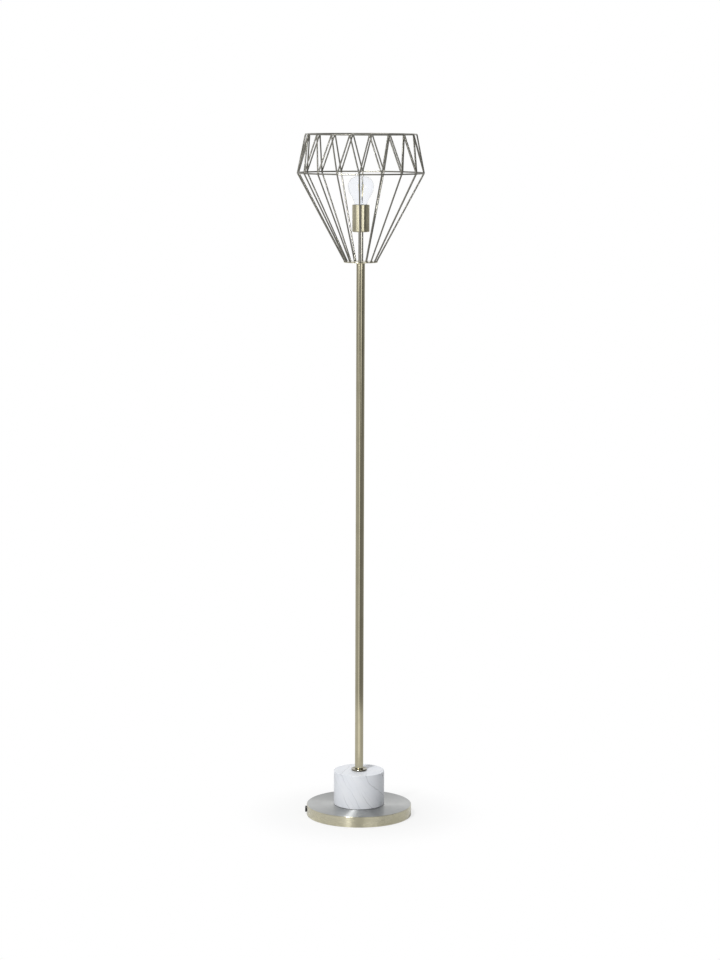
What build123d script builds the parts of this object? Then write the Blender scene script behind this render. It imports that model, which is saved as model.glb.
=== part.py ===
from build123d import *
import os
from math import cos, pi, radians, sin

os.makedirs("parts", exist_ok=True)

# A wire cage floor lamp: a round weighted foot, a stone plinth, a three-piece pole and
# an open faceted cage of welded wire round one bulb. Millimetres, +Z up, the origin on
# the floor under the pole, -Y towards the viewer, and the lead's inlet on the -X side.

# ---------------------------------------------------------------- driving dimensions
# Foot
base_diameter = 250.0
base_height = 26.0
cover_wall = 1.2
cover_top = 1.5
cover_bevel = 0.9
cover_lift = 1.0  # the cover's lower edge clears the floor
pad_thickness = 2.0
pad_inset = 2.5
weight_clearance = 0.3
weight_roof = 5.0
nut_well_radius = 26.0
lead_channel_width = 14.0

# Stone plinth and the ring at the pole's foot
plinth_diameter = 120.0
plinth_height = 81.0
plinth_edge = 0.6
gasket_thickness = 0.8
gasket_inset = 1.5
collar_diameter = 38.0
collar_height = 4.4
collar_floor = 1.5
collar_dish = 1.4
collar_cove = 1.1  # how far the dish has dropped half way in
collar_edge = 1.8
collar_undercut = 2.4

# Pole: three equal tubes with a turned joint between them
pole_diameter = 20.0
pole_wall = 1.2
pole_section_length = 403.0
joint_seam = 0.75
joint_seam_inset = 0.4
plug_length = 22.0
foot_plug_length = 25.0
stud_length = 18.0

# Threaded lamp tube, used in the foot, in the joints and under the lampholder
rod_diameter = 10.0
rod_bore = 6.8
rod_reach = 3.0  # how far the foot's rod stops short of its plug's top
foot_nut_height = 3.5
foot_nut_flats = 1.7 * rod_diameter
foot_nut_flange_diameter = 3 * rod_diameter
foot_nut_flange = 1.5
rod_stand_out = 0.9

# Lead inside the lamp, and its inlet in the foot
lead_diameter = 5.2
core_diameter = 1.6
core_spread = 1.3
lead_floor_gap = 0.3
lead_riser_gap = 0.3  # between the riser's bend and the rod's end
lead_slope_bend = 60.0
lead_level_run = 19.0
lead_slope_run = 33.0
gland_flange_diameter = 14.6
gland_flange = 3.8
gland_body_diameter = 10.0
gland_lip_diameter = 11.6
gland_lip = 2.2
gland_length = 10.0
gland_bore = 6.8
gland_round = 0.8

# Cage of straight wires
side_count = 18
cage_turn = -1.5  # degrees that the cage is turned on the pole
wire_diameter = 3.5
wire_bend = 8.0
girdle_diameter = 300.0  # over the wire
top_ring_diameter = 261.0  # over the wire
plate_diameter = 80.0
plate_thickness = 2.0
plate_round = 0.6
strut_foot_inset = 2.5
girdle_rise = 204.7  # from the plate's top to the girdle wire's centre
top_ring_rise = 88.9  # from the girdle wire's centre to the top ring wire's centre
weld_reach = 0.8

# Stem and cup
sleeve_step = 2.0  # wider than the rod
sleeve_diameter = rod_diameter + sleeve_step
sleeve_length = 68.6
cup_diameter = 40.6
cup_height = 62.7
cup_wall = 1.0
cup_floor = 1.2
cup_round = 2.0
cup_nut_height = 3.0
cup_nut_flats = 1.4 * rod_diameter

# Lampholder
holder_diameter = 35.0
holder_cap_floor = 3.0
holder_cap_height = 16.7
holder_body_height = 6.5
holder_ledge = 2.0
skirt_diameter = 36.4
skirt_height = 37.5
skirt_mouth_depth = 12.0
skirt_mouth_diameter = 33.0
skirt_round = 0.6
shell_wall = 0.5
shell_height = 24.5
terminal_offset = 9.0
terminal_screw_diameter = 2.9
terminal_head_diameter = 5.2
terminal_head_height = 1.4
terminal_tip = 1.4
contact_strip = 0.5
contact_width = 6.0
contact_rise = 2.2
contact_half_length = 3.0

# Screw thread shared by the bulb's cap and the lampholder's shell
thread_pitch = 3.629
thread_root_radius = 12.1
thread_shell_radius = 13.9
thread_ridge = 1.0
bulb_thread_turns = 3.0
shell_thread_turns = 2.5

# Bulb
bulb_diameter = 60.0
bulb_length = 106.5
bulb_crown = 25.0  # from the widest ring to the top
glass_wall = 0.8
bulb_gap = 0.2  # between the bulb's tip and the lampholder's contact
cap_wall = 0.4
cap_height = 19.5
cap_rim_height = 2.5
cap_rim_radius = 13.4
tip_height = 2.0
tip_radius = 4.8
insulator_height = 6.1
insulator_lap = 1.0
insulator_foot_radius = 5.2
driver_board = 1.2
driver_can_radius = 4.0
driver_can_height = 5.6
neck_radius = 11.4
neck_depth = 10.0  # of the glass inside the cap
neck_step = 1.0
flare_thickness = 1.0
stem_radius = 4.4
stem_height = 35.0
stalk_radius = 1.2
stalk_height = 37.0
button_radius = 2.0
button_height = 1.6
filament_count = 4
filament_radius = 0.9
filament_length = 28.0
filament_foot_radius = 5.0
filament_head_radius = 8.0
filament_start = 6.0  # above the stem's press
support_radius = 0.35
support_tip = 12.0

# Clearances
thread_clearance = 0.05
slide_clearance = 0.2
press_clearance = 0.05
lap_clearance = 0.1

# ---------------------------------------------------------------- derived places
base_radius = base_diameter / 2
weight_radius = base_radius - cover_wall - weight_clearance
weight_height = base_height - cover_top - pad_thickness
nut_well_depth = weight_height - weight_roof
rod_radius = rod_diameter / 2
rod_hole_radius = rod_radius + slide_clearance
tapped_radius = rod_radius + thread_clearance

plinth_bottom = base_height + gasket_thickness
plinth_top = plinth_bottom + plinth_height
pole_bottom = plinth_top + collar_floor
pole_radius = pole_diameter / 2
plug_radius = pole_radius - pole_wall - press_clearance
section_step = pole_section_length + joint_seam
pole_top = pole_bottom + 2 * section_step + pole_section_length

nut_seat = pad_thickness + nut_well_depth
gland_height = nut_seat - gland_flange_diameter / 2
rod_bottom = nut_seat - foot_nut_flange - foot_nut_height - rod_stand_out
rod_top = pole_bottom + foot_plug_length - rod_reach

plate_top = pole_top + plate_thickness
girdle_height = plate_top + girdle_rise
top_ring_height = girdle_height + top_ring_rise
wire_radius = wire_diameter / 2
girdle_radius = girdle_diameter / 2 - wire_radius
top_ring_radius = top_ring_diameter / 2 - wire_radius
strut_foot_radius = plate_diameter / 2 - strut_foot_inset
side_angle = 360 / side_count
first_vertex = -90 + cage_turn

cup_bottom = plate_top + sleeve_length
cup_seat = cup_bottom + cup_floor
cup_top = cup_bottom + cup_height
holder_bottom = cup_seat + cup_nut_height
holder_cavity = holder_bottom + holder_cap_floor
holder_cap_top = holder_bottom + holder_cap_height
body_bottom = holder_cap_top - holder_body_height
holder_radius = holder_diameter / 2
body_radius = holder_radius - holder_ledge
shell_radius = thread_shell_radius + shell_wall
nipple_bottom = pole_top - stud_length
nipple_top = holder_cavity + lap_clearance
lead_top = nipple_top + lap_clearance

tip_bottom = holder_cap_top + contact_strip + contact_rise + bulb_gap
insulator_bottom = tip_bottom + tip_height
cap_bottom = insulator_bottom + insulator_height - insulator_lap
cap_top = cap_bottom + cap_height
insulator_top = insulator_bottom + insulator_height
glass_bottom = cap_top - neck_depth
bulb_top = tip_bottom + bulb_length
bulb_thread_bottom = cap_bottom + 2 * thread_ridge
shell_thread_bottom = bulb_thread_bottom + thread_pitch / 2
press_top = glass_bottom + stem_height
stalk_top = press_top + stalk_height


def on_circle(radius, angle, height):
    """A point at an angle in degrees round the lamp's axis."""
    return Vector(radius * cos(radians(angle)), radius * sin(radians(angle)), height)


def disc(bottom, height, radius):
    """A round plate about the lamp's axis."""
    with BuildSketch(Plane.XY.offset(bottom)) as outline:
        Circle(radius)
    extrude(outline.sketch, amount=height)


def ring(bottom, height, outer_radius, inner_radius):
    """A tube or washer about the lamp's axis."""
    with BuildSketch(Plane.XY.offset(bottom)) as outline:
        Circle(outer_radius)
        Circle(inner_radius, mode=Mode.SUBTRACT)
    extrude(outline.sketch, amount=height)


def bore(bottom, height, radius):
    """A round hole about the lamp's axis."""
    with BuildSketch(Plane.XY.offset(bottom)) as outline:
        Circle(radius)
    extrude(outline.sketch, amount=height, mode=Mode.SUBTRACT)


def cut_outside(bottom, height, radius):
    """Trim what stands outside a radius about the lamp's axis."""
    with BuildSketch(Plane.XY.offset(bottom)) as outline:
        Circle(2 * radius)
        Circle(radius, mode=Mode.SUBTRACT)
    extrude(outline.sketch, amount=height, mode=Mode.SUBTRACT)


def straight_wire(start, finish, radius):
    """A straight round wire between two points."""
    with BuildSketch(Plane(origin=start, z_dir=finish - start)) as section:
        Circle(radius)
    extrude(section.sketch, amount=(finish - start).length)


def hex_nut(bottom, height, flats, radius):
    """A hexagon with a tapped bore."""
    with BuildSketch(Plane.XY.offset(bottom)) as outline:
        RegularPolygon(flats / 2, 6, major_radius=False)
        Circle(radius, mode=Mode.SUBTRACT)
    extrude(outline.sketch, amount=height)


def thread_ridge_on(radius, bottom, turns):
    """A round-topped screw thread, swept up a helix."""
    with BuildLine() as ridge_path:
        Helix(thread_pitch, thread_pitch * turns, radius, center=(0, 0, bottom))
    with BuildSketch(Plane(origin=ridge_path.line @ 0, z_dir=ridge_path.line % 0)) as section:
        Circle(thread_ridge)
    sweep(section.sketch, path=ridge_path.line, is_frenet=True)


# ---------------------------------------------------------------- foot
with BuildPart() as base_pad:
    disc(0, pad_thickness, base_radius - cover_wall - pad_inset)
base_pad.part.label = "base_pad"
export_step(base_pad.part, "parts/base_pad.step")

with BuildPart() as base_weight:
    disc(pad_thickness, weight_height, weight_radius)
    with BuildSketch(Plane.XY.offset(pad_thickness)):
        Circle(nut_well_radius)
        Rectangle(weight_radius, lead_channel_width, align=(Align.MAX, Align.CENTER))
    extrude(amount=nut_well_depth, mode=Mode.SUBTRACT)
    bore(pad_thickness, weight_height, rod_hole_radius)
base_weight.part.label = "base_weight"
export_step(base_weight.part, "parts/base_weight.step")

with BuildPart() as base_cover:
    disc(cover_lift, base_height - cover_lift, base_radius)
    chamfer(base_cover.edges().filter_by(GeomType.CIRCLE).sort_by(Axis.Z)[-1], cover_bevel)
    bore(cover_lift, base_height - cover_lift - cover_top, base_radius - cover_wall)
    bore(cover_lift, base_height, rod_hole_radius)
    with Locations(Plane(origin=(-base_radius, 0, gland_height), z_dir=(-1, 0, 0))):
        Hole(gland_body_diameter / 2 + lap_clearance, depth=2 * cover_wall)
base_cover.part.label = "base_cover"
export_step(base_cover.part, "parts/base_cover.step")

# The inlet: a flanged bush that snaps behind the cover's wall
with BuildPart() as cord_gland:
    with BuildSketch(Plane(origin=(-base_radius - gland_flange, 0, gland_height), z_dir=(1, 0, 0))):
        Circle(gland_flange_diameter / 2)
    extrude(amount=gland_flange)
    fillet(cord_gland.edges().filter_by(GeomType.CIRCLE).sort_by(Axis.X)[0], gland_round)
    with BuildSketch(Plane(origin=(-base_radius, 0, gland_height), z_dir=(1, 0, 0))):
        Circle(gland_body_diameter / 2)
    extrude(amount=gland_length)
    lip_start = -base_radius + cover_wall + slide_clearance
    with BuildSketch(Plane(origin=(lip_start, 0, gland_height), z_dir=(1, 0, 0))):
        Circle(gland_lip_diameter / 2)
    extrude(amount=gland_lip)
    with Locations(Plane(origin=(-base_radius - gland_flange, 0, gland_height), z_dir=(-1, 0, 0))):
        Hole(gland_bore / 2)
cord_gland.part.label = "cord_gland"
export_step(cord_gland.part, "parts/cord_gland.step")

with BuildPart() as base_nut:
    ring(nut_seat - foot_nut_flange, foot_nut_flange, foot_nut_flange_diameter / 2, tapped_radius)
    hex_nut(nut_seat - foot_nut_flange - foot_nut_height, foot_nut_height, foot_nut_flats, tapped_radius)
base_nut.part.label = "base_nut"
export_step(base_nut.part, "parts/base_nut.step")

with BuildPart() as tie_rod:
    ring(rod_bottom, rod_top - rod_bottom, rod_radius, rod_bore / 2)
tie_rod.part.label = "tie_rod"
export_step(tie_rod.part, "parts/tie_rod.step")

# ---------------------------------------------------------------- plinth
with BuildPart() as plinth_gasket:
    ring(base_height, gasket_thickness, plinth_diameter / 2 - gasket_inset, rod_hole_radius)
plinth_gasket.part.label = "plinth_gasket"
export_step(plinth_gasket.part, "parts/plinth_gasket.step")

with BuildPart() as marble_plinth:
    disc(plinth_bottom, plinth_height, plinth_diameter / 2)
    chamfer(marble_plinth.edges().filter_by(GeomType.CIRCLE), plinth_edge)
    bore(plinth_bottom, plinth_height, rod_hole_radius)
marble_plinth.part.label = "marble_plinth"
export_step(marble_plinth.part, "parts/marble_plinth.step")

# ---------------------------------------------------------------- pole
# The ring at the foot is undercut, with a rounded edge and a dished top round the pole
collar_radius = collar_diameter / 2
collar_neck = pole_radius + lap_clearance
collar_top = plinth_top + collar_height
with BuildPart() as pole_collar:
    with BuildSketch(Plane.XZ):
        with BuildLine():
            Polyline(
                (collar_neck, collar_top - collar_dish),
                (collar_neck, pole_bottom),
                (rod_hole_radius, pole_bottom),
                (rod_hole_radius, plinth_top),
                (collar_radius - collar_undercut, plinth_top),
                (collar_radius, collar_top - collar_edge),
            )
            TangentArc(
                (collar_radius, collar_top - collar_edge),
                (collar_radius - collar_edge / 2, collar_top),
                tangent=(0, 1),
            )
            ThreePointArc(
                (collar_radius - collar_edge / 2, collar_top),
                ((collar_radius + collar_neck) / 2, collar_top - collar_cove),
                (collar_neck, collar_top - collar_dish),
            )
        make_face()
    revolve(axis=Axis.Z)
pole_collar.part.label = "pole_collar"
export_step(pole_collar.part, "parts/pole_collar.step")

with BuildPart() as foot_plug:
    ring(pole_bottom, foot_plug_length, plug_radius, tapped_radius)
foot_plug.part.label = "foot_plug"
export_step(foot_plug.part, "parts/foot_plug.step")

# Each joint is a tapped socket in the lower tube and a shouldered stud in the upper one
tube_names = ["pole_lower", "pole_middle", "pole_upper"]
for index, tube_name in enumerate(tube_names):
    tube_bottom = pole_bottom + index * section_step
    with BuildPart() as pole_tube:
        ring(tube_bottom, pole_section_length, pole_radius, pole_radius - pole_wall)
    pole_tube.part.label = tube_name
    export_step(pole_tube.part, f"parts/{tube_name}.step")

joint_names = ["lower_joint", "upper_joint"]
for index, joint_name in enumerate(joint_names):
    socket_top = pole_bottom + index * section_step + pole_section_length
    with BuildPart() as joint_socket:
        ring(socket_top - plug_length, plug_length, plug_radius, tapped_radius)
    joint_socket.part.label = f"{joint_name}_socket"
    export_step(joint_socket.part, f"parts/{joint_name}_socket.step")

    with BuildPart() as joint_stud:
        ring(socket_top - stud_length, stud_length, rod_radius, rod_bore / 2)
        ring(socket_top, joint_seam, pole_radius - joint_seam_inset, rod_bore / 2)
        ring(socket_top + joint_seam, plug_length, plug_radius, rod_bore / 2)
    joint_stud.part.label = f"{joint_name}_stud"
    export_step(joint_stud.part, f"parts/{joint_name}_stud.step")

with BuildPart() as top_plug:
    ring(pole_top - plug_length, plug_length, plug_radius, tapped_radius)
top_plug.part.label = "top_plug"
export_step(top_plug.part, "parts/top_plug.step")

with BuildPart() as top_nipple:
    ring(nipple_bottom, nipple_top - nipple_bottom, rod_radius, rod_bore / 2)
top_nipple.part.label = "top_nipple"
export_step(top_nipple.part, "parts/top_nipple.step")

# ---------------------------------------------------------------- cage
def wire_ring(radius, height, first_angle):
    """One wire bent round the corners of a regular polygon and welded shut."""
    corners = [
        on_circle(radius, first_angle + index * side_angle, height)
        for index in range(side_count)
    ]
    with BuildLine() as ring_path:
        FilletPolyline(*corners, radius=wire_bend, close=True)
    with BuildSketch(Plane(origin=ring_path.line @ 0, z_dir=ring_path.line % 0)) as section:
        Circle(wire_radius)
    sweep(section.sketch, path=ring_path.line)


with BuildPart() as cage_girdle_ring:
    wire_ring(girdle_radius, girdle_height, first_vertex)
cage_girdle_ring.part.label = "cage_girdle_ring"
export_step(cage_girdle_ring.part, "parts/cage_girdle_ring.step")

with BuildPart() as cage_top_ring:
    wire_ring(top_ring_radius, top_ring_height, first_vertex + side_angle / 2)
cage_top_ring.part.label = "cage_top_ring"
export_step(cage_top_ring.part, "parts/cage_top_ring.step")

with BuildPart() as cage_plate:
    disc(pole_top, plate_thickness, plate_diameter / 2)
    fillet(cage_plate.edges().filter_by(GeomType.CIRCLE), plate_round)
    bore(pole_top, plate_thickness, rod_hole_radius)
cage_plate.part.label = "cage_plate"
export_step(cage_plate.part, "parts/cage_plate.step")

# A lower strut stands on the plate near its edge and is coped to the girdle wire
strut_foot = on_circle(strut_foot_radius, first_vertex, plate_top)
girdle_corner = on_circle(girdle_radius, first_vertex, girdle_height)
strut_way = (girdle_corner - strut_foot).normalized()
with BuildPart() as strut_pattern:
    straight_wire(
        strut_foot - strut_way * 2 * wire_diameter,
        girdle_corner - strut_way * weld_reach,
        wire_radius,
    )
    split(bisect_by=Plane.XY.offset(plate_top), keep=Keep.TOP)
    add(cage_girdle_ring.part, mode=Mode.SUBTRACT)

for index in range(side_count):
    strut_name = f"lower_strut_{index + 1:02d}"
    lower_strut = strut_pattern.part.rotate(Axis.Z, index * side_angle)
    lower_strut.label = strut_name
    export_step(lower_strut, f"parts/{strut_name}.step")

# An upper strut leans half a side; its neighbours meet it on the corners' upright planes
top_corner = on_circle(top_ring_radius, first_vertex + side_angle / 2, top_ring_height)
lean_way = (top_corner - girdle_corner).normalized()
girdle_cut = Plane(origin=(0, 0, 0), z_dir=on_circle(1, first_vertex + 90, 0))
top_cut = Plane(origin=(0, 0, 0), z_dir=on_circle(1, first_vertex + side_angle / 2 + 90, 0))
with BuildPart() as leaning_strut:
    straight_wire(
        girdle_corner + lean_way * weld_reach,
        top_corner - lean_way * weld_reach,
        wire_radius,
    )
    split(bisect_by=girdle_cut, keep=Keep.TOP)
    split(bisect_by=top_cut, keep=Keep.BOTTOM)
    add(cage_girdle_ring.part, mode=Mode.SUBTRACT)
    add(cage_top_ring.part, mode=Mode.SUBTRACT)

with BuildPart() as upper_struts_right:
    with PolarLocations(0, side_count):
        add(leaning_strut.part)
upper_struts_right.part.label = "upper_struts_right"
export_step(upper_struts_right.part, "parts/upper_struts_right.step")

with BuildPart() as upper_struts_left:
    add(mirror(upper_struts_right.part, about=girdle_cut, mode=Mode.PRIVATE))
upper_struts_left.part.label = "upper_struts_left"
export_step(upper_struts_left.part, "parts/upper_struts_left.step")

# ---------------------------------------------------------------- stem and cup
with BuildPart() as stem_sleeve:
    ring(plate_top, sleeve_length, sleeve_diameter / 2, rod_hole_radius)
stem_sleeve.part.label = "stem_sleeve"
export_step(stem_sleeve.part, "parts/stem_sleeve.step")

with BuildPart() as socket_cup:
    disc(cup_bottom, cup_height, cup_diameter / 2)
    fillet(socket_cup.edges().filter_by(GeomType.CIRCLE).sort_by(Axis.Z)[0], cup_round)
    bore(cup_seat, cup_height, cup_diameter / 2 - cup_wall)
    bore(cup_bottom, cup_floor, rod_hole_radius)
socket_cup.part.label = "socket_cup"
export_step(socket_cup.part, "parts/socket_cup.step")

with BuildPart() as cup_nut:
    hex_nut(cup_seat, cup_nut_height, cup_nut_flats, tapped_radius)
cup_nut.part.label = "cup_nut"
export_step(cup_nut.part, "parts/cup_nut.step")

# ---------------------------------------------------------------- lampholder
with BuildPart() as holder_cap:
    disc(holder_bottom, holder_cap_height, holder_radius)
    fillet(holder_cap.edges().filter_by(GeomType.CIRCLE).sort_by(Axis.Z)[0], holder_ledge)
    bore(holder_cavity, holder_cap_height, body_radius - holder_ledge)
    bore(body_bottom, holder_body_height, body_radius + lap_clearance)
    bore(holder_bottom, holder_cap_floor, tapped_radius)
holder_cap.part.label = "holder_cap"
export_step(holder_cap.part, "parts/holder_cap.step")

with BuildPart() as holder_body:
    disc(body_bottom, holder_body_height, body_radius)
    with Locations((terminal_offset, 0, holder_cap_top), (-terminal_offset, 0, holder_cap_top)):
        Hole(terminal_screw_diameter / 2 + lap_clearance)
holder_body.part.label = "holder_body"
export_step(holder_body.part, "parts/holder_body.step")

with BuildPart() as holder_skirt:
    disc(holder_cap_top, skirt_height, skirt_diameter / 2)
    fillet(holder_skirt.edges().filter_by(GeomType.CIRCLE).sort_by(Axis.Z)[-1], skirt_round)
    bore(holder_cap_top, skirt_height, shell_radius + slide_clearance)
    bore(
        holder_cap_top + skirt_height - skirt_mouth_depth,
        skirt_mouth_depth,
        skirt_mouth_diameter / 2,
    )
holder_skirt.part.label = "holder_skirt"
export_step(holder_skirt.part, "parts/holder_skirt.step")

# The threaded shell stands on the body and reaches one terminal with a flat tab
with BuildPart() as holder_thread_shell:
    ring(holder_cap_top, shell_height, shell_radius, thread_shell_radius)
    with BuildSketch(Plane.XY.offset(holder_cap_top)):
        with Locations((terminal_offset, 0)):
            Circle(contact_width / 2)
            Rectangle(
                thread_shell_radius + shell_wall / 2 - terminal_offset,
                contact_width,
                align=(Align.MIN, Align.CENTER),
            )
            Circle(terminal_screw_diameter / 2 + lap_clearance, mode=Mode.SUBTRACT)
    extrude(amount=contact_strip)
    thread_ridge_on(thread_shell_radius, shell_thread_bottom, shell_thread_turns)
    cut_outside(holder_cap_top, shell_height, shell_radius)
holder_thread_shell.part.label = "holder_thread_shell"
export_step(holder_thread_shell.part, "parts/holder_thread_shell.step")

# The centre contact is a bent spring strip, held under the other terminal's head
strip_low = holder_cap_top + contact_strip / 2
strip_high = strip_low + contact_rise
with BuildPart() as centre_contact:
    with BuildSketch(Plane.XZ):
        with BuildLine():
            strip_line = FilletPolyline(
                (-terminal_offset - contact_width / 2, strip_low),
                (-contact_half_length - contact_rise, strip_low),
                (-contact_half_length, strip_high),
                (contact_half_length, strip_high),
                radius=contact_strip,
            )
            offset(amount=contact_strip / 2, side=Side.BOTH)
        make_face()
    extrude(amount=contact_width / 2, both=True)
    with Locations((-terminal_offset, 0, holder_cap_top + contact_strip)):
        Hole(terminal_screw_diameter / 2 + lap_clearance, depth=2 * contact_strip)
centre_contact.part.label = "centre_contact"
export_step(centre_contact.part, "parts/centre_contact.step")

head_bottom = holder_cap_top + contact_strip
screw_tip = body_bottom - terminal_tip
with BuildPart() as terminal_screws:
    with BuildSketch(Plane.XY.offset(head_bottom)):
        with Locations((terminal_offset, 0), (-terminal_offset, 0)):
            Circle(terminal_head_diameter / 2)
    extrude(amount=terminal_head_height)
    with BuildSketch(Plane.XY.offset(screw_tip)):
        with Locations((terminal_offset, 0), (-terminal_offset, 0)):
            Circle(terminal_screw_diameter / 2)
    extrude(amount=head_bottom - screw_tip)
    with BuildSketch(Plane.XY.offset(head_bottom + terminal_head_height)):
        with Locations((terminal_offset, 0), (-terminal_offset, 0)):
            Rectangle(contact_strip, terminal_head_diameter)
    extrude(amount=-terminal_head_height / 2, mode=Mode.SUBTRACT)
terminal_screws.part.label = "terminal_screws"
export_step(terminal_screws.part, "parts/terminal_screws.step")

# ---------------------------------------------------------------- lead inside the lamp
lead_radius = lead_diameter / 2
lead_low = pad_thickness + lead_floor_gap + lead_radius
lead_start = -base_radius + gland_length + slide_clearance
lead_riser_bend = rod_bottom - lead_low - lead_riser_gap
lead_bends = [lead_slope_bend, lead_slope_bend, lead_riser_bend]
with BuildPart() as internal_lead:
    with BuildLine(Plane.XZ) as lead_path:
        FilletPolyline(
            (lead_start, gland_height),
            (lead_start + lead_level_run, gland_height),
            (lead_start + lead_level_run + lead_slope_run, lead_low),
            (0, lead_low),
            (0, lead_top),
            radius=lead_bends,
        )
    with BuildSketch(Plane(origin=lead_path.line @ 0, z_dir=lead_path.line % 0)):
        Circle(lead_radius)
    sweep(path=lead_path.line)
    for side in (1, -1):
        with BuildLine(Plane.XZ) as core_path:
            FilletPolyline(
                (side * core_spread, lead_top - core_diameter),
                (side * core_spread, lead_top + core_diameter),
                (side * terminal_offset, screw_tip - 2 * core_diameter),
                (side * terminal_offset, screw_tip - lap_clearance),
                radius=core_diameter,
            )
        with BuildSketch(Plane(origin=core_path.line @ 0, z_dir=core_path.line % 0)):
            Circle(core_diameter / 2)
        sweep(path=core_path.line)
internal_lead.part.label = "internal_lead"
export_step(internal_lead.part, "parts/internal_lead.step")
lead_run_length = sum(edge.length for edge in lead_path.edges())
lead_volume_ratio = internal_lead.part.volume / (pi * lead_radius**2 * lead_run_length)
print("lead bend radii", lead_bends, "length", round(lead_run_length, 1))
print("lead volume over section times length", round(lead_volume_ratio, 4))

# ---------------------------------------------------------------- bulb
bulb_radius = bulb_diameter / 2
crown_height = bulb_top - bulb_crown
glass_waist = [  # radius, above the cap
    (12.6, 0.0),
    (13.8, 9.0),
    (15.5, 18.0),
    (19.8, 27.7),
    (24.2, 34.9),
    (28.0, 43.0),
]
dome_turns = [0, 22.5, 45, 67.5]
dome_power = 0.909  # broader at the shoulders than an ellipse


def glass_form(inset):
    """The bulb's outline, in from the outer skin by a wall, turned round the axis."""
    neck = neck_radius - inset
    neck_top = cap_top - cap_rim_height - neck_step
    crown_radius = bulb_radius - inset
    with BuildSketch(Plane.XZ) as half_section:
        with BuildLine():
            Polyline((0, glass_bottom), (neck, glass_bottom), (neck, neck_top))
            Spline(
                (neck, neck_top),
                *[(radius - inset, cap_top + rise) for radius, rise in glass_waist],
                *[
                    (
                        crown_radius * cos(radians(turn)) ** dome_power,
                        crown_height + (bulb_crown - inset) * sin(radians(turn)) ** dome_power,
                    )
                    for turn in dome_turns
                ],
                (0, bulb_top - inset),
                tangents=[(0, 1), (-1, 0)],
                tangent_scalars=[1, 1],
            )
            Line((0, bulb_top - inset), (0, glass_bottom))
        make_face()
    revolve(half_section.sketch, axis=Axis.Z)


with BuildPart() as glass_cavity:
    glass_form(glass_wall)

with BuildPart() as bulb_glass:
    glass_form(0)
    add(glass_cavity.part, mode=Mode.SUBTRACT)
bulb_glass.part.label = "bulb_glass"
export_step(bulb_glass.part, "parts/bulb_glass.step")

cap_inner = thread_root_radius - cap_wall
with BuildPart() as bulb_cap:
    ring(cap_bottom, cap_height - cap_rim_height, thread_root_radius, cap_inner)
    with BuildSketch(Plane.XZ):
        with BuildLine():
            Polyline(
                (cap_inner, cap_top - cap_rim_height),
                (thread_root_radius, cap_top - cap_rim_height),
                (cap_rim_radius, cap_top),
                (cap_rim_radius - cap_wall, cap_top),
                close=True,
            )
        make_face()
    revolve(axis=Axis.Z)
    thread_ridge_on(thread_root_radius, bulb_thread_bottom, bulb_thread_turns)
    bore(cap_bottom, cap_height - cap_rim_height, cap_inner)
bulb_cap.part.label = "bulb_cap"
export_step(bulb_cap.part, "parts/bulb_cap.step")

pin_radius = button_radius / 2
with BuildPart() as cap_insulator:
    with BuildSketch(Plane.XZ):
        with BuildLine():
            Polyline(
                (0, insulator_bottom),
                (insulator_foot_radius, insulator_bottom),
                (thread_root_radius, cap_bottom - lap_clearance),
                (cap_inner - lap_clearance, cap_bottom - lap_clearance),
                (cap_inner - lap_clearance, insulator_top),
                (0, insulator_top),
                close=True,
            )
        make_face()
    revolve(axis=Axis.Z)
    bore(insulator_bottom, insulator_height, pin_radius + lap_clearance)
cap_insulator.part.label = "cap_insulator"
export_step(cap_insulator.part, "parts/cap_insulator.step")

with BuildPart() as bulb_contact:
    disc(tip_bottom, tip_height - lap_clearance, tip_radius)
    fillet(bulb_contact.edges().filter_by(GeomType.CIRCLE).sort_by(Axis.Z)[0], tip_height / 2)
    disc(tip_bottom, tip_height + insulator_height - lap_clearance, pin_radius)
bulb_contact.part.label = "bulb_contact"
export_step(bulb_contact.part, "parts/bulb_contact.step")

with BuildPart() as bulb_driver:
    disc(insulator_top, driver_board, cap_inner - lap_clearance)
    disc(insulator_top + driver_board, driver_can_height, driver_can_radius)
bulb_driver.part.label = "bulb_driver"
export_step(bulb_driver.part, "parts/bulb_driver.step")

# The glass stem: a flare that closes the neck, a tube, a pressed top and a slim stalk
flare_radius = neck_radius - glass_wall - lap_clearance
with BuildPart() as bulb_stem:
    disc(glass_bottom, flare_thickness, flare_radius)
    with BuildSketch(Plane.XZ):
        with BuildLine():
            Polyline(
                (0, glass_bottom + flare_thickness),
                (flare_radius, glass_bottom + flare_thickness),
                (stem_radius, glass_bottom + flare_radius),
                (stem_radius, press_top - 2 * stem_radius),
                (stalk_radius * 2, press_top),
                (stalk_radius, press_top),
                (stalk_radius, stalk_top),
                (0, stalk_top),
                close=True,
            )
        make_face()
    revolve(axis=Axis.Z)
    disc(stalk_top, button_height, button_radius)
bulb_stem.part.label = "bulb_stem"
export_step(bulb_stem.part, "parts/bulb_stem.step")

filament_low = press_top + filament_start
filament_high = filament_low + filament_length
filament_angles = [45 + index * 360 / filament_count for index in range(filament_count)]
with BuildPart() as bulb_filaments:
    for angle in filament_angles:
        straight_wire(
            on_circle(filament_foot_radius, angle, filament_low),
            on_circle(filament_head_radius, angle, filament_high),
            filament_radius,
        )
bulb_filaments.part.label = "bulb_filaments"
export_step(bulb_filaments.part, "parts/bulb_filaments.step")

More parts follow.
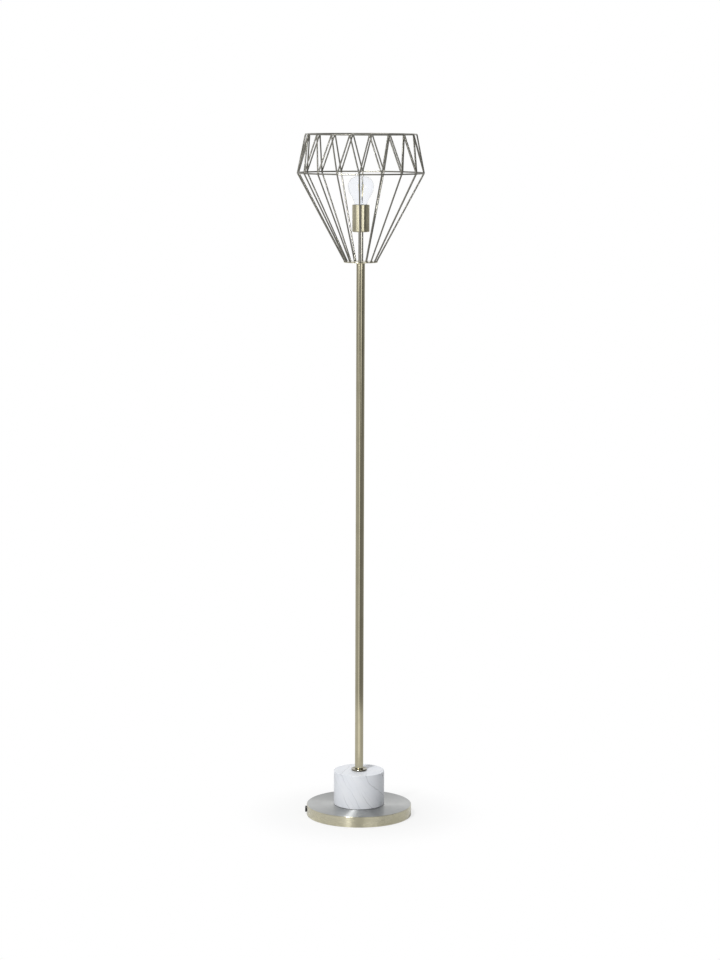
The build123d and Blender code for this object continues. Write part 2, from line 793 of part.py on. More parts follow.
with BuildPart() as filament_supports:
    for angle in filament_angles:
        straight_wire(
            on_circle(stalk_radius + support_radius, angle, press_top + slide_clearance),
            on_circle(filament_foot_radius, angle, filament_low - slide_clearance),
            support_radius,
        )
        straight_wire(
            on_circle(button_radius + slide_clearance, angle, stalk_top + button_height / 2),
            on_circle(filament_head_radius, angle, filament_high + slide_clearance * 2),
            support_radius,
        )
    disc(stalk_top + button_height, support_tip, stalk_radius / 2)
filament_supports.part.label = "filament_supports"
export_step(filament_supports.part, "parts/filament_supports.step")

print("pole top", pole_top, "plate top", plate_top, "girdle", girdle_height)
print("cup", cup_bottom, cup_top, "tip", tip_bottom, "cap", cap_bottom, cap_top)
print("crown", crown_height, "bulb top", bulb_top, "lamp top", top_ring_height + wire_radius)
print("bulb lift per turn", thread_pitch)
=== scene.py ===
import math

import bmesh
import bpy
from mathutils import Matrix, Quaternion, Vector


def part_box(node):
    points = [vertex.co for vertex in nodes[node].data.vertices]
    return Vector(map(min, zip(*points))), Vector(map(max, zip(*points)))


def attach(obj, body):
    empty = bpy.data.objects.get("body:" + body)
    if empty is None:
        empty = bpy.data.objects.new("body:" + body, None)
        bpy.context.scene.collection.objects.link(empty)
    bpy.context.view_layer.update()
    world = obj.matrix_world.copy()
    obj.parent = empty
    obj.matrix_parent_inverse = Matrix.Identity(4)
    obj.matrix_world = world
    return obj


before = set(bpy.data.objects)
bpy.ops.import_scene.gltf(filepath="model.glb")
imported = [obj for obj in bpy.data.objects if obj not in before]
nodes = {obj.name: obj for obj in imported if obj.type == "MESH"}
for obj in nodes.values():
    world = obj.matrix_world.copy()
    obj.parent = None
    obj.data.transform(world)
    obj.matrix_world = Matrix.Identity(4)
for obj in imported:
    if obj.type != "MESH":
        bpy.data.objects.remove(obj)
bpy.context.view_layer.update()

# ------------------------------------------------------------------ camera
# The photograph's viewpoint: 6.1 m in front of the pole and 1.7 m up, pitched a little down.
CAMERA_AT = Vector((0.0, -6.139, 1.686))
CAMERA_PITCH = 8.136  # degrees down
CAMERA_ROLL = 0.19  # degrees
CAMERA_LENS = 98.8  # mm, on a sensor of 36 mm over the picture's longer side
CAMERA_SENSOR = 36

camera_data = bpy.data.cameras.new("camera")
camera_data.lens = CAMERA_LENS
camera_data.sensor_width = CAMERA_SENSOR
camera_data.sensor_fit = "AUTO"
camera_data.clip_end = 200
camera = bpy.data.objects.new("camera", camera_data)
camera.location = CAMERA_AT
camera.rotation_mode = "QUATERNION"
pitch = Quaternion((1, 0, 0), math.radians(90 - CAMERA_PITCH))
roll = Quaternion((0, 0, 1), math.radians(CAMERA_ROLL))
camera.rotation_quaternion = pitch @ roll
bpy.context.scene.collection.objects.link(camera)
bpy.context.scene.camera = camera


# ------------------------------------------------------------------ node helpers
class Graph:
    """A node tree with short ways to add and join nodes."""

    def __init__(self, tree):
        self.tree = tree

    def add(self, kind, inputs=None, **settings):
        node = self.tree.nodes.new(kind)
        for key, value in settings.items():
            setattr(node, key, value)
        for key, value in (inputs or {}).items():
            self.put(node.inputs[key], value)
        return node

    def put(self, socket, value):
        """Join a socket to the input, or set the input's value."""
        if isinstance(value, bpy.types.NodeSocket):
            self.tree.links.new(value, socket)
        elif isinstance(value, (tuple, list)) and len(value) == 3 and socket.type == "RGBA":
            socket.default_value = (*value, 1)
        else:
            socket.default_value = value

    def math(self, operation, a, b=None, c=None, clamp=False):
        node = self.add("ShaderNodeMath", operation=operation, use_clamp=clamp)
        for index, value in enumerate((a, b, c)):
            if value is not None:
                self.put(node.inputs[index], value)
        return node.outputs[0]

    def vector(self, operation, a, b=None):
        node = self.add("ShaderNodeVectorMath", operation=operation)
        for index, value in enumerate((a, b)):
            if value is not None:
                self.put(node.inputs[index], value)
        return node.outputs["Value" if operation == "LENGTH" else "Vector"]

    def scaled(self, a, share):
        """A vector times a number."""
        node = self.add("ShaderNodeVectorMath", operation="SCALE")
        self.put(node.inputs[0], a)
        node.inputs["Scale"].default_value = share
        return node.outputs["Vector"]

    def step(self, value, low, high, to_low=0.0, to_high=1.0):
        """A smooth rise of value from low to high."""
        node = self.add("ShaderNodeMapRange", interpolation_type="SMOOTHSTEP")
        for key, item in (
            ("Value", value),
            ("From Min", low),
            ("From Max", high),
            ("To Min", to_low),
            ("To Max", to_high),
        ):
            self.put(node.inputs[key], item)
        return node.outputs["Result"]

    def mix(self, factor, a, b):
        """Colour a where the factor is 0, colour b where it is 1."""
        node = self.add("ShaderNodeMix", data_type="RGBA")
        self.put(node.inputs["Factor"], factor)
        self.put(node.inputs[6], a)
        self.put(node.inputs[7], b)
        return node.outputs[2]

    def ramp(self, value, stops):
        """Colours, or plain levels of grey, at positions from 0 to 1."""
        node = self.add("ShaderNodeValToRGB")
        elements = node.color_ramp.elements
        while len(elements) < len(stops):
            elements.new(0.5)
        for element, (position, colour) in zip(elements, stops):
            element.position = position
            element.color = (*(colour if isinstance(colour, tuple) else (colour,) * 3), 1)
        self.put(node.inputs[0], value)
        return node.outputs[0]

    def noise(self, vector, scale, detail=2.0, roughness=0.5, distortion=0.0):
        node = self.add("ShaderNodeTexNoise")
        for key, item in (
            ("Vector", vector),
            ("Scale", scale),
            ("Detail", detail),
            ("Roughness", roughness),
            ("Distortion", distortion),
        ):
            self.put(node.inputs[key], item)
        return node.outputs[0]

    def place(self, vector, turn=(0, 0, 0), scale=(1, 1, 1)):
        """The same place, turned and stretched."""
        node = self.add("ShaderNodeMapping")
        self.put(node.inputs["Vector"], vector)
        node.inputs["Rotation"].default_value = [math.radians(x) for x in turn]
        node.inputs["Scale"].default_value = scale
        return node.outputs[0]


def material(name):
    """A new material, its graph, its shader and the object's own coordinates."""
    made = bpy.data.materials.new(name)
    made.use_nodes = True
    made.node_tree.nodes.clear()
    graph = Graph(made.node_tree)
    output = graph.add("ShaderNodeOutputMaterial")
    shader = graph.add("ShaderNodeBsdfPrincipled")
    graph.put(output.inputs["Surface"], shader.outputs[0])
    where = graph.add("ShaderNodeTexCoord").outputs["Object"]
    return made, graph, shader, where


def bump(graph, shader, height, distance):
    """Relief of the given height pattern, its full height in metres."""
    settings = {"Height": height, "Distance": distance, "Strength": 1.0}
    graph.put(shader.inputs["Normal"], graph.add("ShaderNodeBump", settings).outputs[0])


ROUND_THE_AXIS = 1.3  # how far the grain changes along its own lines
AXIS_RADIUS = 0.001  # no line is nearer to the axis, in metres


def turned_place(graph, where, across):
    """Coordinates in which grain runs round the lamp's axis: fine across, slow along."""
    x, y, z = graph.add("ShaderNodeSeparateXYZ", {"Vector": where}).outputs
    radius = graph.math(
        "SQRT", graph.math("ADD", graph.math("MULTIPLY", x, x), graph.math("MULTIPLY", y, y))
    )
    safe = graph.math("MAXIMUM", radius, AXIS_RADIUS)
    return graph.add(
        "ShaderNodeCombineXYZ",
        {
            "X": graph.math("MULTIPLY", graph.math("DIVIDE", x, safe), ROUND_THE_AXIS),
            "Y": graph.math("MULTIPLY", graph.math("DIVIDE", y, safe), ROUND_THE_AXIS),
            "Z": graph.math("MULTIPLY", graph.math("ADD", radius, z), across),
        },
    ).outputs[0]


# ------------------------------------------------------------------ materials
WHEEL_LINES, FINE_LINES = 2600.0, 9000.0  # of the polishing wheel, to a metre
DRAWN_GRAIN, FINE_GRAIN = 900.0, 2600.0  # of drawn wire, to a metre
LEVEL_DARK = 0.84  # tarnish on level faces, as a share of their top tone, which is painted reflection
LEVEL_ROUGHER = 0.12


def brass(
    name, colour, dark, roughness, grain, anisotropy=0.0, turned=True, level=None, coat=0.25
):
    """Plated brass: lines of the polishing wheel, slight tarnish and handling marks.
    Where a top tone is given, level faces are brushed rougher and take it as their colour:
    painted reflection, a darker and greyer tone that stands in for the cool light the level top
    mirrors.
    Grain is the lines' depth in metres."""
    made, graph, shader, where = material(name)
    if level:
        # painted reflection: upward faces take the darker, greyer top tone, standing in for the
        # cool light they mirror
        facing = graph.add("ShaderNodeNewGeometry").outputs["Normal"]
        up = graph.add("ShaderNodeSeparateXYZ", {"Vector": facing}).outputs[2]
        top = graph.step(up, 0.6, 0.95)
        colour = graph.mix(top, colour, level)
        dark = graph.mix(top, dark, tuple(LEVEL_DARK * c for c in level))
        roughness = graph.math("MULTIPLY_ADD", top, LEVEL_ROUGHER, roughness)
    cloud = graph.noise(where, 26.0, 3.0, 0.55)
    spots = graph.noise(where, 420.0, 2.0, 0.6)
    tarnish = graph.math(
        "ADD",
        graph.step(cloud, 0.42, 0.72, 0.0, 0.5),
        graph.step(spots, 0.62, 0.78, 0.0, 0.25),
    )
    if turned:
        lines = graph.noise(turned_place(graph, where, WHEEL_LINES), 1.0, 3.0, 0.65)
        fine = graph.noise(turned_place(graph, where, FINE_LINES), 1.0, 1.0, 0.5)
    else:
        lines = graph.noise(where, DRAWN_GRAIN, 2.0, 0.6)
        fine = graph.noise(where, FINE_GRAIN, 1.0, 0.5)
    shade = graph.math("ADD", tarnish, graph.step(lines, 0.3, 0.7, -0.10, 0.16), clamp=True)
    graph.put(shader.inputs["Base Color"], graph.mix(shade, colour, dark))
    rough = graph.math(
        "ADD",
        graph.step(lines, 0.25, 0.75, -0.02, 0.02),
        graph.step(cloud, 0.4, 0.75, 0.0, 0.025),
    )
    graph.put(shader.inputs["Roughness"], graph.math("ADD", rough, roughness))
    shader.inputs["Metallic"].default_value = 1.0
    if anisotropy:
        shader.inputs["Anisotropic"].default_value = anisotropy
        shader.inputs["Anisotropic Rotation"].default_value = 0.25
        tangent = graph.add("ShaderNodeTangent", direction_type="RADIAL", axis="Z")
        graph.put(shader.inputs["Tangent"], tangent.outputs[0])
    shader.inputs["Coat Weight"].default_value = coat
    shader.inputs["Coat Roughness"].default_value = 0.12
    bump(graph, shader, graph.math("ADD", lines, graph.math("MULTIPLY", fine, 0.6)), grain)
    return made


CLOUD_TONES = [
    (0.30, (0.700, 0.725, 0.765)),
    (0.55, (0.745, 0.765, 0.800)),
    (0.80, (0.780, 0.790, 0.810)),
]
VEIN_GREY = (0.36, 0.37, 0.39)
VEIN_TURN = (0, 33, 12)  # degrees


def stone(name):
    """White honed marble: soft clouds, thin grey veins that slant down to the right."""
    made, graph, shader, where = material(name)
    drift = graph.add("ShaderNodeTexNoise", {"Vector": where, "Scale": 15.0}).outputs[1]
    slanted = graph.place(where, turn=VEIN_TURN)
    warped = graph.vector("ADD", slanted, graph.scaled(drift, 0.016))
    across = graph.add("ShaderNodeSeparateXYZ", {"Vector": warped}).outputs[0]
    clouds = graph.noise(graph.place(slanted, scale=(1, 1, 0.5)), 26.0, 4.0, 0.55)
    base = graph.ramp(clouds, CLOUD_TONES)

    def vein_set(spacing, wander, wide, strength, low, high):
        """Thin lines that run long and parallel, wander, and fade in from low to high."""
        stray = graph.math("MULTIPLY", graph.noise(where, 22.0, 3.0, 0.5), wander)
        fold = graph.math("PINGPONG", graph.math("MULTIPLY_ADD", across, 2 / spacing, stray), 1.0)
        fade = graph.step(graph.noise(slanted, 0.5 / spacing, 2.0, 0.5), low, high)
        return graph.math("MULTIPLY", graph.step(fold, 0.0, wide, strength, 0.0), fade)

    lines = graph.math(
        "ADD",
        vein_set(0.024, 1.5, 0.085, 0.62, 0.36, 0.58),
        vein_set(0.0105, 2.1, 0.11, 0.26, 0.40, 0.66),
        clamp=True,
    )
    graph.put(shader.inputs["Base Color"], graph.mix(lines, base, VEIN_GREY))
    graph.put(shader.inputs["Roughness"], graph.step(clouds, 0.3, 0.8, 0.36, 0.48))
    shader.inputs["Specular IOR Level"].default_value = 0.45
    shader.inputs["Subsurface Weight"].default_value = 0.08
    shader.inputs["Subsurface Radius"].default_value = (0.004, 0.004, 0.004)
    pits = graph.step(graph.noise(where, 1500.0, 2.0, 0.6), 0.3, 0.42, 0.0, 0.6)
    bump(graph, shader, graph.math("SUBTRACT", pits, graph.math("MULTIPLY", lines, 0.5)), 6e-5)
    return made


def painted(name, light, dark, roughness, scale, grain, metallic=0.0, spread=0.1):
    """A general finish: two tones of a fine grain, with its roughness and relief."""
    made, graph, shader, where = material(name)
    cloud = graph.noise(where, scale, 3.0, 0.6)
    speck = graph.noise(where, scale * 6, 2.0, 0.6)
    graph.put(
        shader.inputs["Base Color"],
        graph.mix(graph.step(graph.math("ADD", cloud, speck), 0.75, 1.25), dark, light),
    )
    graph.put(
        shader.inputs["Roughness"],
        graph.step(speck, 0.3, 0.7, max(roughness - spread, 0.04), roughness + spread),
    )
    shader.inputs["Metallic"].default_value = metallic
    bump(graph, shader, graph.math("ADD", cloud, graph.math("MULTIPLY", speck, 0.5)), grain)
    return made


def felt(name):
    """Pressed black felt: short fibres that lie every way."""
    made, graph, shader, where = material(name)
    one, two = (
        graph.noise(graph.place(where, (0, 0, turn), (1, 0.22, 1)), 1500.0, 2.0, 0.6, 1.2)
        for turn in (31, -52)
    )
    fibre = graph.math("MAXIMUM", one, two)
    graph.put(
        shader.inputs["Base Color"],
        graph.mix(graph.step(fibre, 0.45, 0.8), (0.010, 0.010, 0.011), (0.055, 0.055, 0.058)),
    )
    shader.inputs["Roughness"].default_value = 1.0
    shader.inputs["Sheen Weight"].default_value = 0.4
    bump(graph, shader, fibre, 0.0004)
    return made


def glass(name, tint, refraction):
    """Clear glass with a trace of haze."""
    made, graph, shader, where = material(name)
    haze = graph.noise(where, 55.0, 3.0, 0.6)
    clearer = tuple(min(1.0, c + 0.02) for c in tint)
    graph.put(
        shader.inputs["Base Color"], graph.mix(graph.step(haze, 0.35, 0.75), tint, clearer)
    )
    graph.put(shader.inputs["Roughness"], graph.step(haze, 0.4, 0.8, 0.0, 0.015))
    shader.inputs["Transmission Weight"].default_value = 1.0
    shader.inputs["IOR"].default_value = refraction
    return made


CHIP_PITCH = 0.0011  # metres


def phosphor(name):
    """The yellow coat of a light-emitting filament, unlit, with its row of chips showing."""
    made, graph, shader, where = material(name)
    z = graph.add("ShaderNodeSeparateXYZ", {"Vector": where}).outputs[2]
    chips = graph.step(
        graph.math("SINE", graph.math("MULTIPLY", z, 2 * math.pi / CHIP_PITCH)), 0.2, 0.9
    )
    grain = graph.noise(where, 4000.0, 2.0, 0.6)
    graph.put(
        shader.inputs["Base Color"],
        graph.mix(
            graph.math("MULTIPLY", graph.math("ADD", chips, grain), 0.5),
            (0.82, 0.70, 0.38),
            (0.93, 0.86, 0.62),
        ),
    )
    graph.put(shader.inputs["Roughness"], graph.step(grain, 0.3, 0.7, 0.4, 0.55))
    shader.inputs["Subsurface Weight"].default_value = 0.2
    shader.inputs["Subsurface Radius"].default_value = (0.0006, 0.0005, 0.0003)
    bump(graph, shader, graph.math("ADD", chips, grain), 6e-5)
    return made


BRASSES = {
    "cover_brass": {
        "colour": (0.62, 0.585, 0.44),
        "dark": (0.54, 0.505, 0.36),
        "roughness": 0.27,
        "grain": 2.5e-6,
        "anisotropy": 0.97,
        # painted reflection: the base top's darker, greyer tone stands in for the cool light it
        # mirrors
        "level": (0.425, 0.435, 0.43),
    },
    "pole_brass": {
        "colour": (0.52, 0.48, 0.345),
        "dark": (0.43, 0.395, 0.275),
        "roughness": 0.10,
        "grain": 2e-6,
        "coat": 0.0,
    },
    # painted shade: the collar's two tones are a darkened copy of the brass, standing in for the
    # dark it mirrors
    "collar_brass_painted_dark": {
        "colour": (0.29, 0.27, 0.205),
        "dark": (0.23, 0.21, 0.155),
        "roughness": 0.07,
        "grain": 3e-6,
    },
    "cup_brass": {
        "colour": (0.56, 0.525, 0.385),
        "dark": (0.46, 0.42, 0.29),
        "roughness": 0.21,
        "grain": 2e-6,
        "anisotropy": 0.85,
        "coat": 0.0,
    },
    "stem_brass": {
        "colour": (0.60, 0.585, 0.52),
        "dark": (0.50, 0.485, 0.42),
        "roughness": 0.12,
        "grain": 2e-6,
        "anisotropy": 0.3,
        "coat": 0.0,
    },
    # painted shade: the wires' two tones are a darkened, greyed copy of the brass, standing in
    # for the dark surroundings they mirror
    "wire_brass_painted_dark": {
        "colour": (0.275, 0.267, 0.235),
        "dark": (0.185, 0.178, 0.152),
        "roughness": 0.30,
        "grain": 2e-6,
        "turned": False,
        "coat": 0.0,
    },
    "turned_brass": {
        "colour": (0.72, 0.56, 0.27),
        "dark": (0.55, 0.41, 0.18),
        "roughness": 0.26,
        "grain": 1e-5,
        "anisotropy": 0.3,
    },
}
# light tone, dark tone, roughness, scale of the grain, its depth in metres, then for metals
# and glass how metallic it is and how far its roughness strays
PAINTED = {
    "rubber": ((0.040, 0.040, 0.041), (0.020, 0.020, 0.021), 0.72, 700.0, 4e-5),
    "iron": ((0.115, 0.112, 0.108), (0.060, 0.058, 0.056), 0.62, 420.0, 2e-4, 0.6),
    "zinc": ((0.66, 0.66, 0.63), (0.50, 0.50, 0.48), 0.30, 900.0, 1e-5, 1.0, 0.06),
    "black_plastic": ((0.026, 0.026, 0.027), (0.014, 0.014, 0.015), 0.36, 1300.0, 2e-5),
    "ceramic": ((0.86, 0.84, 0.79), (0.78, 0.76, 0.71), 0.5, 800.0, 2e-5),
    "contact": ((0.76, 0.60, 0.30), (0.62, 0.47, 0.22), 0.28, 1200.0, 1e-5, 1.0, 0.06),
    "nickel": ((0.74, 0.72, 0.66), (0.58, 0.56, 0.51), 0.22, 1200.0, 1e-5, 1.0, 0.06),
    "black_glass": (
        (0.022, 0.022, 0.024), (0.010, 0.010, 0.012), 0.14, 600.0, 1e-5, 0.0, 0.05
    ),
    "board": ((0.055, 0.18, 0.075), (0.030, 0.11, 0.045), 0.45, 900.0, 2e-5),
}
finish = {
    "marble": stone("marble"),
    "felt": felt("felt"),
    "bulb_glass": glass("bulb_glass", (0.945, 0.955, 0.975), 1.2),
    "stem_glass": glass("stem_glass", (0.88, 0.90, 0.93), 1.4),
    "phosphor": phosphor("phosphor"),
}
for name, settings in BRASSES.items():
    finish[name] = brass(name, **settings)
for name, settings in PAINTED.items():
    finish[name] = painted(name, *settings)

node_finish = {
    "base_pad": "felt",
    "base_weight": "iron",
    "base_cover": "cover_brass",
    "cord_gland": "black_plastic",
    "base_nut": "zinc",
    "tie_rod": "zinc",
    "plinth_gasket": "rubber",
    "marble_plinth": "marble",
    "pole_collar": "collar_brass_painted_dark",
    "foot_plug": "zinc",
    "pole_lower": "pole_brass",
    "pole_middle": "pole_brass",
    "pole_upper": "pole_brass",
    "lower_joint_socket": "turned_brass",
    "lower_joint_stud": "pole_brass",
    "upper_joint_socket": "turned_brass",
    "upper_joint_stud": "pole_brass",
    "top_plug": "turned_brass",
    "top_nipple": "zinc",
    "cage_plate": "cup_brass",
    "cage_girdle_ring": "wire_brass_painted_dark",
    "cage_top_ring": "wire_brass_painted_dark",
    "upper_struts_right": "wire_brass_painted_dark",
    "upper_struts_left": "wire_brass_painted_dark",
    "stem_sleeve": "stem_brass",
    "socket_cup": "cup_brass",
    "cup_nut": "zinc",
    "holder_cap": "black_plastic",
    "holder_body": "ceramic",
    "holder_skirt": "black_plastic",
    "holder_thread_shell": "contact",
    "centre_contact": "contact",
    "terminal_screws": "contact",
    "internal_lead": "rubber",
    "bulb_glass": "bulb_glass",
    "bulb_cap": "nickel",
    "cap_insulator": "black_glass",
    "bulb_contact": "nickel",
    "bulb_driver": "board",
    "bulb_stem": "stem_glass",
    "bulb_filaments": "phosphor",
    "filament_supports": "nickel",
}
for number in range(1, 19):
    node_finish[f"lower_strut_{number:02d}"] = "wire_brass_painted_dark"
for name, node in nodes.items():
    node.data.materials.clear()
    node.data.materials.append(finish[node_finish[name]])


# ------------------------------------------------------------------ welds of the cage
SIDES = 18
CAGE_TURN = -91.5  # degrees, of a girdle corner
GIRDLE_REACH = 0.1474  # metres, from the axis to the middle of a bead
TOP_RING_REACH = 0.1280
BEAD_LOOPS = 12  # steps along a bead, from tip to tip
BEAD_SIDES = 20  # points round it


def bead_point(centre, out, beside, along, across, tilt, spin, uneven):
    """A point of one bead: tilt runs from tip to tip along the wire, spin round it."""
    lump = (
        1
        + 0.05 * math.sin(3 * spin + uneven)
        + 0.04 * math.sin(5 * tilt + 2 * uneven)
        + 0.03 * math.sin(2 * spin + 7 * tilt - uneven)
    )
    return (
        centre
        + beside * (along * lump * math.cos(tilt))
        + out * (across * lump * math.sin(tilt) * math.cos(spin))
        + Vector((0, 0, across * lump * math.sin(tilt) * math.sin(spin)))
    )


def weld_beads(name, ring, reach, first, along, across, drop=0.0):
    """A small uneven bead of weld over each corner of a wire ring, half as long as along and
    half as thick as across, and lower than the ring's middle by drop."""
    ring_low, ring_high = (Vector(corner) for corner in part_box(ring))
    height = (ring_low.z + ring_high.z) / 2 - drop
    form = bmesh.new()
    for side in range(SIDES):
        a = math.radians(first + side * 360 / SIDES)
        out = Vector((math.cos(a), math.sin(a), 0))
        beside = Vector((-math.sin(a), math.cos(a), 0))
        centre = out * reach + Vector((0, 0, height))
        loops = []
        for step in range(1, BEAD_LOOPS):
            tilt = math.pi * step / BEAD_LOOPS
            spins = [2 * math.pi * turn / BEAD_SIDES for turn in range(BEAD_SIDES)]
            loops.append(
                [
                    form.verts.new(
                        bead_point(centre, out, beside, along, across, tilt, spin, 1.7 * side)
                    )
                    for spin in spins
                ]
            )
        for one, two in zip(loops, loops[1:]):
            for turn in range(BEAD_SIDES):
                nxt = (turn + 1) % BEAD_SIDES
                form.faces.new((one[turn], one[nxt], two[nxt], two[turn]))
        for loop, sign in ((loops[0], 1), (loops[-1], -1)):
            tip = form.verts.new(centre + beside * (sign * along))
            for turn in range(BEAD_SIDES):
                nxt = (turn + 1) % BEAD_SIDES
                pair = (loop[nxt], loop[turn]) if sign > 0 else (loop[turn], loop[nxt])
                form.faces.new((tip, *pair))
    mesh = bpy.data.meshes.new(name)
    form.to_mesh(mesh)
    form.free()
    for face in mesh.polygons:
        face.use_smooth = True
    mesh.materials.append(finish["wire_brass_painted_dark"])
    beads = bpy.data.objects.new(name, mesh)
    bpy.context.scene.collection.objects.link(beads)
    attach(beads, "lamp")


weld_beads(
    "girdle_welds", "cage_girdle_ring", GIRDLE_REACH, CAGE_TURN, along=0.0040, across=0.0022
)
weld_beads(
    "top_ring_welds",
    "cage_top_ring",
    TOP_RING_REACH,
    CAGE_TURN + 180 / SIDES,
    along=0.0036,
    across=0.0020,
    drop=0.0006,
)


# ------------------------------------------------------------------ studio
# What the metal mirrors, as brightness by compass direction. Each stop is an azimuth in
# degrees, 0 on the camera's side and positive to its right, and a brightness. The brass's
# stripes are the pale and dark fields of these tables. WALLS is what stands round the lamp,
# and FAR, GROUND and NEARBY are rings of the floor, from the farthest to the nearest.
WALLS = [
    (-180, 0.86),
    (-148, 0.82),
    (-134, 0.78),
    (-100, 0.76),
    (-84, 0.56),
    (-72, 0.80),
    (-60, 0.80),
    (-54, 0.72),
    (-22, 0.72),
    (-17, 0.15),
    (-10, 0.12),
    (8, 0.10),
    (15, 0.90),
    (44, 0.90),
    (50, 0.12),
    (60, 0.14),
    (75, 0.30),
    (110, 0.42),
    (138, 0.38),
    (150, 0.80),
    (180, 0.86),
]
FAR = [
    (-180, 0.70),
    (-140, 0.50),
    (-115, 0.42),
    (-92, 0.34),
    (-80, 0.40),
    (-71, 0.92),
    (-52, 0.92),
    (-44, 0.40),
    (-14, 0.40),
    (4, 0.42),
    (14, 0.50),
    (18, 1.20),
    (33, 1.20),
    (39, 0.10),
    (66, 0.10),
    (78, 0.26),
    (104, 0.34),
    (136, 0.42),
    (180, 0.70),
]
GROUND = [
    (-180, 0.86),
    (-140, 0.66),
    (-95, 0.60),
    (-40, 0.58),
    (-24, 0.54),
    (-19, 1.30),
    (-7, 1.30),
    (-2, 0.26),
    (60, 0.26),
    (115, 0.34),
    (150, 0.70),
    (180, 0.86),
]
NEARBY = [
    (-180, 0.70),
    (-130, 0.80),
    (-40, 0.82),
    (-24, 1.20),
    (10, 1.20),
    (24, 0.80),
    (60, 0.62),
    (110, 0.62),
    (180, 0.70),
]
# Where glossy rays see the white background, and where a dark field hangs over the camera.
BACKGROUND = [(-180, 1.0), (-158, 1.0), (-146, 0.0), (146, 0.0), (158, 1.0), (180, 1.0)]
SHADE = [(-180, 0.0), (-110, 0.0), (-70, 1.0), (75, 1.0), (115, 0.0), (180, 0.0)]
WHITE = (1.0, 1.0, 1.0)
CEILING = (0.64, 0.65, 0.67)
DARK_FIELD = (0.07, 0.07, 0.075)


def around(graph, direction, stops):
    """Brightness by compass direction."""
    x, y, z = graph.add("ShaderNodeSeparateXYZ", {"Vector": direction}).outputs
    azimuth = graph.math("ARCTAN2", x, graph.math("MULTIPLY", y, -1.0))
    share = graph.math("MULTIPLY_ADD", azimuth, 1 / (2 * math.pi), 0.5)
    return graph.ramp(share, [(degrees / 360 + 0.5, value) for degrees, value in stops])


def sees_background(graph, direction):
    """1 where a ray shows the white background: any camera or transmission ray, and a glossy ray
    that goes the way the camera looks, behind the lamp."""
    ray = graph.add("ShaderNodeLightPath").outputs
    glossy = graph.math("MULTIPLY", ray["Is Glossy Ray"], around(graph, direction, BACKGROUND))
    straight = graph.math("MAXIMUM", ray["Is Camera Ray"], ray["Is Transmission Ray"])
    return graph.math("MAXIMUM", straight, glossy)


def studio_light(graph, direction):
    """What the studio looks like from the lamp, by compass direction and height."""
    flat = graph.vector("NORMALIZE", direction)
    height = graph.add("ShaderNodeSeparateXYZ", {"Vector": flat}).outputs[2]
    room = graph.mix(
        graph.step(height, 0.35, 0.85), around(graph, direction, WALLS), CEILING
    )
    rise = graph.math(
        "MULTIPLY", graph.step(height, 0.20, 0.42), graph.step(height, 0.88, 0.99, 0.85, 0.0)
    )
    shade = graph.math("MULTIPLY", rise, around(graph, direction, SHADE))
    return graph.mix(shade, room, DARK_FIELD)


world = bpy.data.worlds.new("studio")
bpy.context.scene.world = world
world.use_nodes = True
world.node_tree.nodes.clear()
sky = Graph(world.node_tree)
direction = sky.add("ShaderNodeTexCoord").outputs["Generated"]
seen = sees_background(sky, direction)
background = sky.add(
    "ShaderNodeBackground",
    {"Color": sky.mix(seen, studio_light(sky, direction), WHITE), "Strength": 1.0},
)
world_output = sky.add("ShaderNodeOutputWorld")
sky.put(world_output.inputs["Surface"], background.outputs[0])


def softbox(name, azimuth, elevation, distance, width, height, power, aim):
    """A flat soft light that faces the height aim on the lamp's axis. Azimuth 0 is the
    camera's side, and negative is its left."""
    a, e = math.radians(azimuth), math.radians(elevation)
    away = Vector((math.sin(a) * math.cos(e), -math.cos(a) * math.cos(e), math.sin(e)))
    data = bpy.data.lights.new(name, "AREA")
    data.shape = "RECTANGLE"
    data.size, data.size_y, data.energy = width, height, power
    light = bpy.data.objects.new(name, data)
    light.location = Vector((0, 0, aim)) + away * distance
    light.rotation_mode = "QUATERNION"
    light.rotation_quaternion = away.to_track_quat("Z", "Y")
    light.visible_camera = False
    bpy.context.scene.collection.objects.link(light)


softbox("key_light", -32, 56, 6.0, 0.41, 0.70, 190, aim=0.2)
softbox("edge_light", -24, 33, 3.1, 0.08, 0.8, 12, aim=0.05)
softbox("left_bank", -38, 4, 2.6, 1.85, 0.78, 8.4, aim=1.38)
softbox("right_bank", 26, 4, 2.6, 1.40, 0.78, 6.6, aim=1.38)


# ------------------------------------------------------------------ floor
FLOOR_RADIUS = 80.0
FLOOR_RINGS = 10
FLOOR_SIDES = 64
FLOOR_GAP = 0.0003  # under the lamp, in metres
# Distances from the pole, in metres, over which the floor turns from one look to the next.
SHEET_TO_NEARBY = (0.45, 0.70)
NEARBY_TO_GROUND = (1.0, 1.3)
GROUND_TO_FAR = (6.0, 14.0)
FAR_TO_WALLS = (22.0, 30.0)
SHADOW_TO_WHITE = (0.12, 0.32)
LEAST_WHITE = 0.76  # share of white in the floor right under the lamp


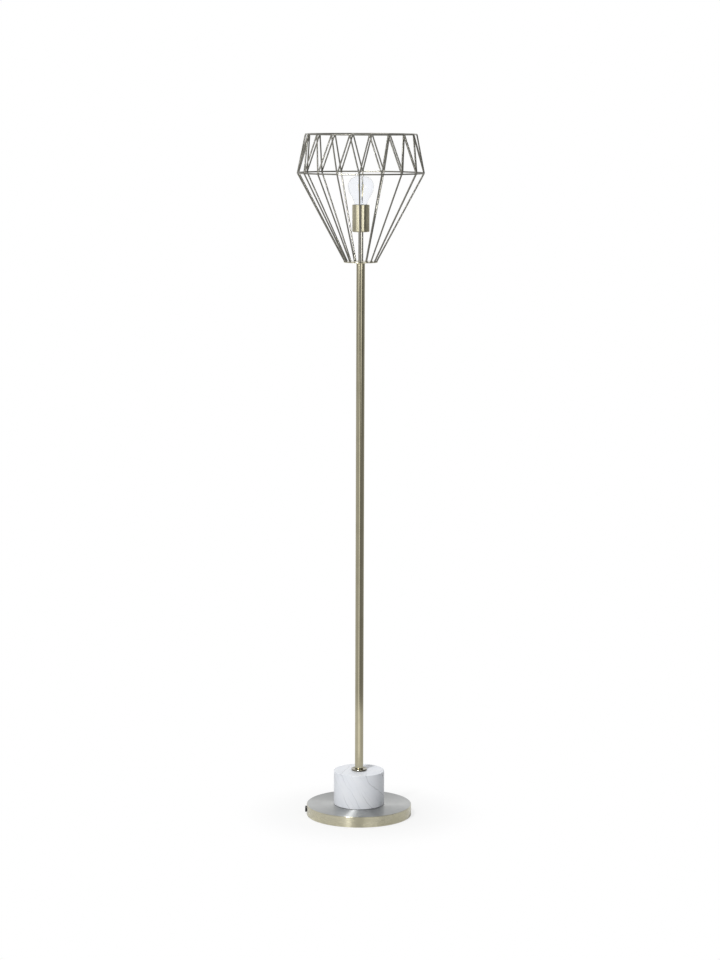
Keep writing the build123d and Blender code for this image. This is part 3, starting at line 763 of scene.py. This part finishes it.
def floor_disc():
    """A round floor, finer towards the lamp."""
    mesh = bpy.data.meshes.new("studio_floor")
    form = bmesh.new()
    centre = form.verts.new((0, 0, 0))
    last = None
    for ring in range(1, FLOOR_RINGS + 1):
        reach = FLOOR_RADIUS * (ring / FLOOR_RINGS) ** 4
        angles = [2 * math.pi * side / FLOOR_SIDES for side in range(FLOOR_SIDES)]
        loop = [form.verts.new((reach * math.cos(a), reach * math.sin(a), 0)) for a in angles]
        for side in range(FLOOR_SIDES):
            nxt = (side + 1) % FLOOR_SIDES
            if last is None:
                form.faces.new((centre, loop[side], loop[nxt]))
            else:
                form.faces.new((last[side], loop[side], loop[nxt], last[nxt]))
        last = loop
    form.to_mesh(mesh)
    form.free()
    return bpy.data.objects.new("studio_floor", mesh)


floor = floor_disc()
floor.location.z = -FLOOR_GAP
bpy.context.scene.collection.objects.link(floor)
paper = bpy.data.materials.new("studio_paper")
paper.use_nodes = True
paper.node_tree.nodes.clear()
g = Graph(paper.node_tree)
place = g.add("ShaderNodeNewGeometry").outputs["Position"]
reach = g.vector("LENGTH", place)


def glow(colour):
    """The floor's own light, which mirrors as the colour given."""
    return g.add("ShaderNodeEmission", {"Color": colour, "Strength": 1.0}).outputs[0]


def blend(share, one, two):
    """One look of the floor where the share is 0, the other where it is 1."""
    return g.add("ShaderNodeMixShader", {0: share, 1: one, 2: two}).outputs[0]


fibres = g.mix(g.noise(place, 900.0, 2.0, 0.6), (0.72, 0.72, 0.72), (0.76, 0.76, 0.76))
sheet = g.add("ShaderNodeBsdfDiffuse", {"Color": fibres}).outputs[0]
ground = g.mix(
    g.step(reach, *GROUND_TO_FAR), around(g, place, GROUND), around(g, place, FAR)
)
beyond = g.mix(g.step(reach, *FAR_TO_WALLS), ground, around(g, place, WALLS))
mirrored = blend(g.step(reach, *SHEET_TO_NEARBY), sheet, glow(around(g, place, NEARBY)))
mirrored = blend(g.step(reach, *NEARBY_TO_GROUND), mirrored, glow(beyond))
shown = blend(g.step(reach, *SHADOW_TO_WHITE, LEAST_WHITE, 1.0), sheet, glow(WHITE))
surface = blend(sees_background(g, place), mirrored, shown)
g.put(g.add("ShaderNodeOutputMaterial").inputs["Surface"], surface)
floor.data.materials.append(paper)

bpy.context.scene.view_settings.view_transform = "Standard"
